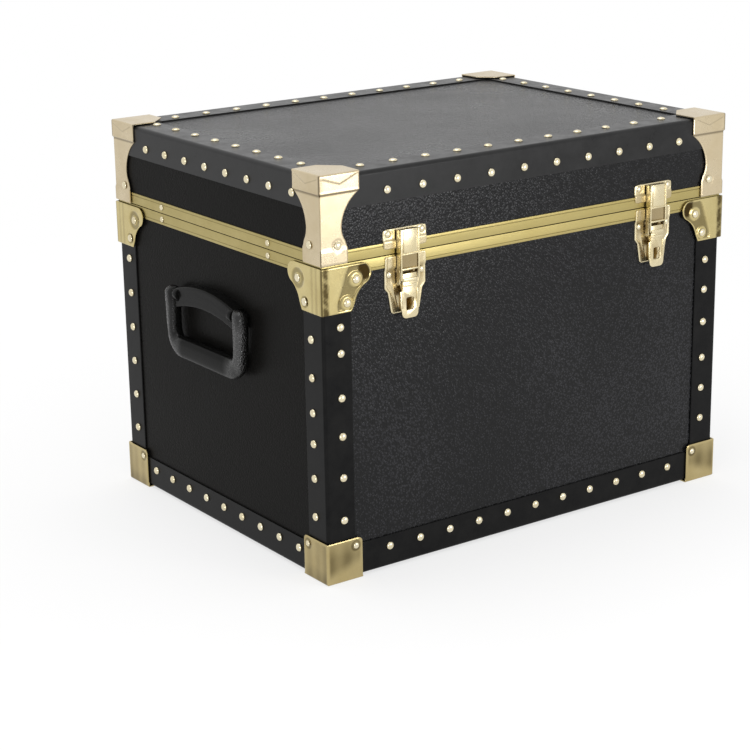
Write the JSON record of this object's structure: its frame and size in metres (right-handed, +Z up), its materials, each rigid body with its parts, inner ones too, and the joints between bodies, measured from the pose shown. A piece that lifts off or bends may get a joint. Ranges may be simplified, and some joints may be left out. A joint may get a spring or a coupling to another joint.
{
  "type": "storage trunk",
  "caption": "Storage trunk with black vinyl boards, nailed bindings, pressed brass corners, a hinged lid, draw latches on the front and bail handles on the sides.",
  "frame": {"origin": "on the floor under the middle of the case", "axes": "+X to the right along the front, -Y to the front with the latches, +Z up"},
  "size_m": [0.4914, 0.3656, 0.3652],
  "materials": {
    "vinyl": "pebbled satin vinyl over plywood",
    "binding": "smooth satin fibre",
    "brass": "polished, lacquered",
    "brass_satin": "pale satin, lacquered",
    "steel": "plain",
    "handle": "moulded, lightly grained",
    "lining": "matte"
  },
  "bodies": {
    "base": {"base_bottom_panel": "vinyl", "base_corners": "brass", "base_front_bottom_binding": "binding", "base_front_left_post": "binding", "base_front_panel": "vinyl", "base_front_right_post": "binding", "base_left_bottom_binding": "binding", "base_left_panel": "vinyl", "base_lining": "lining", "base_nails": "brass", "base_rear_bottom_binding": "binding", "base_rear_left_post": "binding", "base_rear_panel": "vinyl", "base_rear_right_post": "binding", "base_right_bottom_binding": "binding", "base_right_panel": "vinyl", "base_rivets": "brass", "base_valance": "brass", "bottom_corners": "brass", "handle_left_plate": "handle", "handle_pins": "steel", "handle_right_plate": "handle", "hinge_left_base_leaf": "brass", "hinge_pins": "steel", "hinge_right_base_leaf": "brass", "latch_left_plate": "brass", "latch_lever_pins": "steel", "latch_right_plate": "brass"},
    "lid": {"hinge_left_lid_leaf": "brass", "hinge_right_lid_leaf": "brass", "latch_left_keeper": "brass", "latch_right_keeper": "brass", "lid_front_left_corner": "brass_satin", "lid_front_panel": "vinyl", "lid_front_right_corner": "brass_satin", "lid_front_top_binding": "binding", "lid_left_panel": "vinyl", "lid_left_top_binding": "binding", "lid_lining": "lining", "lid_nails": "brass", "lid_rear_left_corner": "brass_satin", "lid_rear_panel": "vinyl", "lid_rear_right_corner": "brass_satin", "lid_rear_top_binding": "binding", "lid_right_panel": "vinyl", "lid_right_top_binding": "binding", "lid_rivets": "brass", "lid_top_panel": "vinyl", "lid_valance": "brass"},
    "latch_left_lever": {"latch_left_lever": "brass", "latch_left_link_pin": "steel"},
    "latch_left_link": {"latch_left_link": "brass"},
    "latch_right_lever": {"latch_right_lever": "brass", "latch_right_link_pin": "steel"},
    "latch_right_link": {"latch_right_link": "brass"},
    "handle_left": {"handle_left_grip": "handle"},
    "handle_right": {"handle_right_grip": "handle"}
  },
  "joints": [
    {"name": "lid_hinge", "type": "hinge", "parent": "base", "child": "lid", "pos_m": [0, 0.1792, 0.287], "axis": [-1, 0, 0], "range_deg": [0, 100]},
    {"name": "latch_left_lever_turn", "type": "hinge", "parent": "base", "child": "latch_left_lever", "pos_m": [-0.1443, -0.1787, 0.268], "axis": [-1, 0, 0], "range_deg": [0, 100]},
    {"name": "latch_left_link_turn", "type": "hinge", "parent": "latch_left_lever", "child": "latch_left_link", "pos_m": [-0.1443, -0.1781, 0.2615], "axis": [-1, 0, 0], "range_deg": [-105, 0]},
    {"name": "latch_right_lever_turn", "type": "hinge", "parent": "base", "child": "latch_right_lever", "pos_m": [0.1443, -0.1787, 0.268], "axis": [-1, 0, 0], "range_deg": [0, 100]},
    {"name": "latch_right_link_turn", "type": "hinge", "parent": "latch_right_lever", "child": "latch_right_link", "pos_m": [0.1443, -0.1781, 0.2615], "axis": [-1, 0, 0], "range_deg": [-105, 0]},
    {"name": "handle_left_swing", "type": "hinge", "parent": "base", "child": "handle_left", "pos_m": [-0.23902, 0.0042, 0.2185], "axis": [0, 1, 0], "range_deg": [0, 90]},
    {"name": "handle_right_swing", "type": "hinge", "parent": "base", "child": "handle_right", "pos_m": [0.23902, 0.0042, 0.2185], "axis": [0, -1, 0], "range_deg": [0, 90]}
  ],
  "couplings": [
    {"joint": "latch_left_link_turn", "follows": "latch_left_lever_turn", "ratio": -1.05},
    {"joint": "latch_right_link_turn", "follows": "latch_right_lever_turn", "ratio": -1.05}
  ]
}
